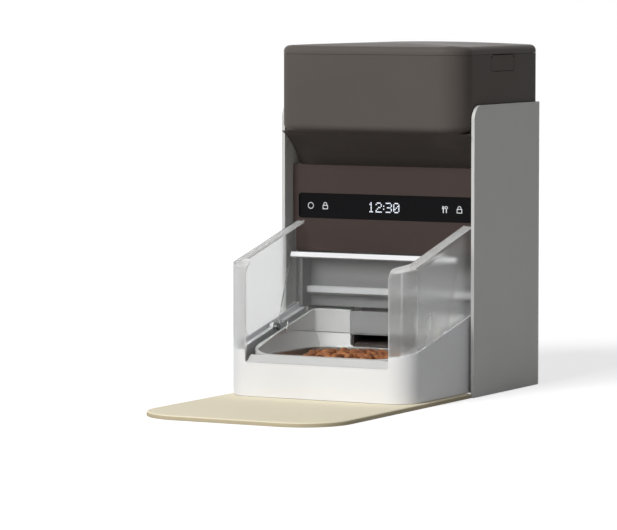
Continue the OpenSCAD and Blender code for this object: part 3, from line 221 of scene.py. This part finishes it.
# Painted shade: a near-black brown for the pocket round each lid clip, standing in for the shade in that
# recess
pocket_shade = plastic("pocket_painted_shade", (0.030, 0.026, 0.024), 0.6, gloss=0.1)
black = plastic("socket_black", (0.015, 0.015, 0.016), 0.4)
bin_grey = clear("bin_plastic", (0.82, 0.84, 0.84), 0.35, rough=0.2)
guard_clear = clear("guard_clear", (0.755, 0.76, 0.76), 0.05, rough=0.25, ior=1.25)
# Painted light: a paler, hazier copy of the guards' clear plastic for their front and rounded corner, which
# reads as a smooth pale band
guard_front_painted_light = clear("guard_front_painted_light", (0.79, 0.795, 0.795), 0.17, rough=0.3, ior=1.15)
# Painted highlight: a near-white hazy copy of the clear plastic for the guards' free edges, standing in for
# the bright line light makes there
guard_edge_highlight = clear("guard_edge_highlight", (0.97, 0.97, 0.97), 0.92, rough=0.2)
lid_clear = clear("lid_clear", (0.86, 0.865, 0.865), 0.035, rough=0.02, ior=1.15)
# Painted shade: a dark clear copy for the flip lid's edges, standing in for the dark line that light leaves
# along a clear edge
lid_edge_shade = clear("lid_edge_shade", (0.12, 0.12, 0.12), 0.03, rough=0.1)
bowl_steel = brushed("bowl_steel", (0.46, 0.45, 0.43), 0.3)
steel = brushed("steel", (0.56, 0.56, 0.56), 0.25)
motor = brushed("motor_metal", (0.50, 0.51, 0.52), 0.35)
bronze = brushed("bronze", (0.62, 0.44, 0.20), 0.3)
copper = brushed("copper", (0.66, 0.34, 0.18), 0.35)

PAINT = {
    cover: ["outer_cover"],
    brown: ["food_housing", "lid_clip_left", "lid_clip_right"],
    lid_brown: ["top_lid"],
    fascia: ["front_fascia"],
    white: ["base_shell", "recess_trim", "lid_bumper"],
    tray_white: ["tray"],
    inner: ["desiccant_box", "desiccant_cover", "dispenser_drum", "drum_end_cap", "motor_bracket",
            "side_frames", "bottom_plate", "battery_box", "battery_door"],
    recess: ["recess_liner"],
    plate: ["chute_cover"],
    rubber: ["lid_seal", "feet"],
    mat_soft: ["mat"],
    window: ["display_window"],
    board: ["display_board", "main_board"],
    orange: ["feed_rotor"],
    acetal: ["lid_gear", "idler_gear"],
    wrap: ["battery_cells"],
    black: ["power_socket"],
    dark: ["chute"],
    bin_grey: ["food_bin"],
    guard_clear: ["guard_left", "guard_right"],
    lid_clear: ["flip_lid"],
    bowl_steel: ["bowl"],
    steel: ["clip_pins", "rotor_shaft", "hinge_pins", "idler_axle", "bottom_screws", "dispenser_screws"],
    motor: ["feed_motor", "lid_motor"],
    bronze: ["rotor_bush", "motor_pinion"],
    copper: ["antenna_coil"],
}
for material, names in PAINT.items():
    for name in names:
        nodes[name].data.materials.clear()
        nodes[name].data.materials.append(material)


# Faces of a node that get painted shade or painted highlights, unlike the rest of it, in millimetres

LIP_REACH = 11.5
CORNER_REACH = 30
POCKET_REACH = 2
POCKET_DEPTH = 1.3
POCKET_SKIN = 0.2
guard_low = box_mm("guard_right")[0]
clip_low, clip_high = box_mm("lid_clip_right")


def free_edge(place, normal):
    """The end of a guard's inward lip, and the underside of the guard, which get a painted highlight."""
    inward = -normal.x * math.copysign(1, place.x)
    return (abs(place.x) < guard_low.x + LIP_REACH and inward > 0.55) or normal.z < -0.8


def front_corner(place, normal):
    """The front of a guard, with most of its rounded corner, which gets painted light."""
    return place.y < guard_low.y + CORNER_REACH and abs(normal.y) > 0.25


def clip_pocket(place, normal):
    """The pocket that holds a clip, up to the housing's outer skin, where painted shade goes."""
    across = clip_low.x - POCKET_DEPTH < abs(place.x) < clip_high.x - POCKET_SKIN
    along = clip_low.y - POCKET_REACH < place.y < clip_high.y + POCKET_REACH
    return across and along and place.z > clip_low.z - POCKET_REACH


def upright(place, normal):
    return abs(normal.z) < 0.5


def panel_edge(place, normal):
    """The sides and the lower edge of the open flip lid, which get painted shade."""
    return abs(normal.x) > 0.9 or normal.z < -0.85


def paint_faces(name, material, wanted):
    """Gives one more material to the faces whose middle and normal pass the test."""
    o = nodes[name]
    o.data.materials.append(material)
    slot = len(o.data.materials) - 1
    for face in o.data.polygons:
        if wanted(o.matrix_world @ face.center / MM, face.normal):
            face.material_index = slot


for name in ("guard_left", "guard_right"):
    paint_faces(name, guard_front_painted_light, front_corner)
    paint_faces(name, guard_edge_highlight, free_edge)
# The clip pockets get the painted shade
paint_faces("food_housing", pocket_shade, clip_pocket)
# The mat's upright sides get the darker painted shade
paint_faces("mat", mat_side_shade, upright)
# The flip lid's edges get the painted shade
paint_faces("flip_lid", lid_edge_shade, panel_edge)

# Soft edges, in millimetres, and clean shading on the CAD nodes
EDGE = {
    "food_housing": 0.5, "top_lid": 0.4, "outer_cover": 0.7, "base_shell": 0.5, "tray": 0.7, "mat": 0.5,
    "lid_bumper": 0.8, "recess_trim": 0.8, "recess_liner": 0.5, "front_fascia": 0.4, "lid_clip_left": 0.25,
    "lid_clip_right": 0.25, "bowl": 0.2, "chute_cover": 0.4,
}
CLEAR = ("guard_left", "guard_right", "flip_lid")
CLEAR_SHARP = 50
OTHER_SHARP = 32
BEVEL_SHARP = 40
for name, o in nodes.items():
    o.data.shade_smooth()
    o.data.set_sharp_from_angle(angle=math.radians(CLEAR_SHARP if name in CLEAR else OTHER_SHARP))
    if name in EDGE:
        bevel = o.modifiers.new("soft_edges", "BEVEL")
        bevel.width = EDGE[name] * MM
        bevel.segments = 3
        bevel.limit_method = "ANGLE"
        bevel.angle_limit = math.radians(BEVEL_SHARP)
        bevel.harden_normals = False
    if name not in CLEAR:
        weighted = o.modifiers.new("clean_normals", "WEIGHTED_NORMAL")
        weighted.keep_sharp = True


# Pieces made here, all sizes in millimetres

def piece(name, bm, material, body="feeder"):
    me = bpy.data.meshes.new(name)
    bm.normal_update()
    bm.to_mesh(me)
    bm.free()
    o = bpy.data.objects.new(name, me)
    bpy.context.scene.collection.objects.link(o)
    me.materials.append(material)
    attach(o, body)
    return o


# Marks on the display, as thin raised tiles on its face

MARK_T = 0.08
MARK_Y = box_mm("display_window")[0].y - MARK_T / 2


def tile(bm, x, z, w, h, turn=0.0):
    size = Matrix.Diagonal((w * MM, MARK_T * MM, h * MM, 1))
    place = Matrix.Translation((x * MM, MARK_Y * MM, z * MM)) @ Matrix.Rotation(turn, 4, "Y")
    bmesh.ops.create_cube(bm, size=1.0, matrix=place @ size)


def ribbon(bm, points, width, closed=False):
    """A flat line of tiles joined end to end through points in the X-Z plane."""
    pts = [Vector(p) for p in points]
    for a, b in zip(pts, pts[1:] + pts[:1] if closed else pts[1:]):
        d = b - a
        mid = (a + b) / 2
        tile(bm, mid.x, mid.y, d.length + width * 0.6, width, -math.atan2(d.y, d.x))


def arc(cx, cz, r, start, end, steps):
    angles = [math.radians(start + (end - start) * i / steps) for i in range(steps + 1)]
    return [(cx + r * math.cos(a), cz + r * math.sin(a)) for a in angles]


# Clock digits as dots, row by row
DIGITS = {
    "0": "01110 10001 10011 10101 11001 10001 01110",
    "1": "00100 01100 00100 00100 00100 00100 01110",
    "2": "01110 10001 00001 00110 01000 10000 11111",
    "3": "11110 00001 00001 01110 00001 00001 11110",
    ":": "0 0 1 0 1 0 0",
}
CLOCK_X = -18.0
CLOCK_TOP = 189.2
DOT = 1.05
DOT_PITCH_X = 1.42
DOT_PITCH_Z = 1.5


def clock_digits(bm):
    column = 0
    for sign in "12:30":
        rows = DIGITS[sign].split()
        for r, row in enumerate(rows):
            for c, on in enumerate(row):
                if on == "1":
                    tile(bm, CLOCK_X + (column + c) * DOT_PITCH_X, CLOCK_TOP - r * DOT_PITCH_Z, DOT, DOT)
        column += len(rows[0]) + 1


ICON_Z = 184.7
RING_X = -83.9
RING_DASHES = 10
LOCK_XS = (-67.3, 83.5)
FORK_X = 65.6
SPOON_X = 69.0


def dashed_ring(bm, cx):
    turn = 360 / RING_DASHES
    for k in range(RING_DASHES):
        ribbon(bm, arc(cx, ICON_Z, 3.0, turn * k, turn * k + 22, 2), 0.7)


def padlock(bm, cx):
    w = 2.6
    low = ICON_Z - 3.0
    top = ICON_Z + 0.6
    bow = 1.7
    ribbon(bm, [(cx - w, low), (cx + w, low), (cx + w, top), (cx - w, top)], 0.65, closed=True)
    ribbon(bm, [(cx - bow, top), *arc(cx, ICON_Z + 1.8, bow, 180, 0, 8), (cx + bow, top)], 0.6)


def handle(bm, cx):
    ribbon(bm, [(cx, ICON_Z + 0.6), (cx, ICON_Z - 3.2)], 0.8)


def fork(bm, cx):
    root = ICON_Z + 0.8
    for x in (cx - 0.9, cx, cx + 0.9):
        ribbon(bm, [(x, ICON_Z + 3.2), (x, root)], 0.5)
    ribbon(bm, [(cx - 1.1, root), (cx + 1.1, root)], 0.6)
    handle(bm, cx)


def spoon(bm, cx):
    ribbon(bm, arc(cx, ICON_Z + 1.9, 1.3, 0, 360, 10), 0.6)
    handle(bm, cx)


marks = bmesh.new()
clock_digits(marks)
piece("display_digits", marks, glow("display_lit", (0.75, 0.80, 0.88), 0.75))

icons = bmesh.new()
dashed_ring(icons, RING_X)
for lock_x in LOCK_XS:
    padlock(icons, lock_x)
fork(icons, FORK_X)
spoon(icons, SPOON_X)
piece("display_icons", icons, glow("icons_lit", (0.70, 0.72, 0.74), 0.36))


# Kibble in the bowl: three layers on a shaken grid, lower at the left and at the rear as in use

LAYER_Z = (30.0, 36.0, 43.0)
GRID_X = 10.2
GRID_Y = 9.9
SHAKE = 2.8
HEAP_X = 63
HEAP_Y = 43
CORNER_X = 54
CORNER_Y = 34
LEFT_END = -48
REAR_END = 31
FALL_X = 7.0
FALL_Y = 3.0
bowl_low, bowl_high = box_mm("bowl")
bowl_mid = (bowl_low + bowl_high) / 2
rng = random.Random(7)


def outside(layer, x, y):
    """Whether a place, measured from the bowl's middle, is past the heap's edge in this layer."""
    past_side = abs(x) > HEAP_X or abs(y) > HEAP_Y
    past_corner = abs(x) > CORNER_X and abs(y) > CORNER_Y
    eaten = layer > 0 and (x < LEFT_END or y > REAR_END)
    return past_side or past_corner or eaten


def nugget(bm, centre):
    """One uneven, tilted piece of food."""
    ball = bmesh.ops.create_icosphere(bm, subdivisions=2, radius=1.0)
    radii = Vector((rng.uniform(5.2, 6.4), rng.uniform(4.8, 6.0), rng.uniform(3.4, 4.4)))
    tilt_x = Matrix.Rotation(rng.uniform(-0.6, 0.6), 4, "X")
    tilt_y = Matrix.Rotation(rng.uniform(-0.6, 0.6), 4, "Y")
    turn = tilt_x @ tilt_y @ Matrix.Rotation(rng.uniform(0, 6.28), 4, "Z")
    seed = Vector((rng.uniform(0, 90), rng.uniform(0, 90), rng.uniform(0, 90)))
    for v in ball["verts"]:
        p = v.co.copy()
        k = 1 + 0.16 * noise.noise(p * 1.6 + seed) + 0.05 * noise.noise(p * 5 + seed)
        v.co = (centre + turn @ (p * radii) * k) * MM


def kibble_heap(bm):
    for layer, layer_z in enumerate(LAYER_Z):
        odd = layer % 2
        for i in range(-6, 7):
            for j in range(-4, 5):
                x = i * GRID_X + rng.uniform(-SHAKE, SHAKE) + odd * 5
                y = j * GRID_Y + rng.uniform(-SHAKE, SHAKE) + odd * 4
                if outside(layer, x, y):
                    continue
                fall = FALL_X * (x / HEAP_X) ** 2 + FALL_Y * (y / HEAP_Y) ** 2
                z = layer_z + rng.uniform(-1.2, 1.6) - fall * layer / 2
                nugget(bm, Vector((bowl_mid.x + x, bowl_mid.y + y, z)))


heap = bmesh.new()
kibble_heap(heap)
kibble = piece("kibble", heap, kibble_material(), "bowl")
kibble.data.shade_smooth()


# Floor, light, world and camera, in metres

FLOOR_SIZE = 30
FLOOR_LIFT = 0.72
FLOOR_NEAR = 0.45
FLOOR_FAR = 1.3
SKY_LIGHT = 0.14
BACKDROP_WHITE = 1.0
CAMERA_PLACE = (1.76504, -3.41887, 0.41296)
CAMERA_DOWN = 4.233
CAMERA_TURN = 28.322
CAMERA_LENS = 225.17


def math_node(tree, op, a, b):
    n = tree.nodes.new("ShaderNodeMath")
    n.operation = op
    for socket, value in zip(n.inputs, (a, b)):
        if isinstance(value, float):
            socket.default_value = value
        else:
            tree.links.new(value, socket)
    return n.outputs[0]


def backdrop_rays(tree):
    """1 for rays that show the backdrop, seen, in gloss or through clear plastic, before a diffuse bounce."""
    path = tree.nodes.new("ShaderNodeLightPath")
    seen = math_node(tree, "MAXIMUM", path.outputs["Is Glossy Ray"], path.outputs["Is Transmission Ray"])
    seen = math_node(tree, "MAXIMUM", seen, path.outputs["Is Camera Ray"])
    first = math_node(tree, "LESS_THAN", path.outputs["Diffuse Depth"], 0.5)
    return math_node(tree, "MULTIPLY", seen, first)


def floor_material():
    """Pale floor that keeps its shadow near the feeder and turns plain white farther out."""
    m, tree, bsdf, coord = new_material("floor")
    soft = noise_node(tree, coord, 3).outputs["Fac"]
    tree.links.new(ramp(tree, soft, (0.49, 0.49, 0.49), (0.51, 0.51, 0.51)), bsdf.inputs["Base Color"])
    bsdf.inputs["Roughness"].default_value = 1.0
    bsdf.inputs["Specular IOR Level"].default_value = 0.0
    far = tree.nodes.new("ShaderNodeVectorMath")
    far.operation = "LENGTH"
    tree.links.new(coord.outputs["Object"], far.inputs[0])
    lift = map_range(tree, far.outputs["Value"], (FLOOR_NEAR, FLOOR_FAR), FLOOR_LIFT, BACKDROP_WHITE)
    pale = tree.nodes.new("ShaderNodeEmission")
    pale.inputs["Color"].default_value = (1, 1, 1, 1)
    tree.links.new(math_node(tree, "MULTIPLY", backdrop_rays(tree), lift), pale.inputs["Strength"])
    add = tree.nodes.new("ShaderNodeAddShader")
    tree.links.new(bsdf.outputs["BSDF"], add.inputs[0])
    tree.links.new(pale.outputs["Emission"], add.inputs[1])
    tree.links.new(add.outputs["Shader"], surface_input(tree))
    return m


def add_floor():
    bpy.ops.mesh.primitive_plane_add(size=FLOOR_SIZE, location=(0, 0, 0))
    floor = bpy.context.object
    floor.name = "floor"
    floor.data.materials.append(floor_material())


def add_world():
    """White where it is seen, and a faint even light everywhere else."""
    world = bpy.data.worlds.new("studio")
    bpy.context.scene.world = world
    world.use_nodes = True
    tree = world.node_tree
    background = tree.nodes["Background"]
    background.inputs["Color"].default_value = (1, 1, 1, 1)
    level = map_range(tree, backdrop_rays(tree), (0.0, 1.0), SKY_LIGHT, BACKDROP_WHITE)
    tree.links.new(level, background.inputs["Strength"])


def add_lamp(name, place, aim, size, power):
    light = bpy.data.lights.new(name, "AREA")
    light.shape = "SQUARE"
    light.size = size
    light.energy = power
    o = bpy.data.objects.new(name, light)
    o.location = place
    o.rotation_euler = (Vector(aim) - Vector(place)).to_track_quat("-Z", "Y").to_euler()
    bpy.context.scene.collection.objects.link(o)


def add_camera():
    camera_data = bpy.data.cameras.new("camera")
    camera_data.sensor_width = 36
    camera_data.lens = CAMERA_LENS
    camera_data.clip_start = 0.1
    camera_data.clip_end = 60
    camera = bpy.data.objects.new("camera", camera_data)
    camera.location = CAMERA_PLACE
    camera.rotation_euler = (math.radians(90 - CAMERA_DOWN), 0, math.radians(CAMERA_TURN))
    bpy.context.scene.collection.objects.link(camera)
    bpy.context.scene.camera = camera


add_floor()
add_world()
add_lamp("key", place=(-0.45, -2.75, 2.4), aim=(0, -0.05, 0.17), size=1.3, power=108)
add_camera()
bpy.context.scene.view_settings.view_transform = "Standard"
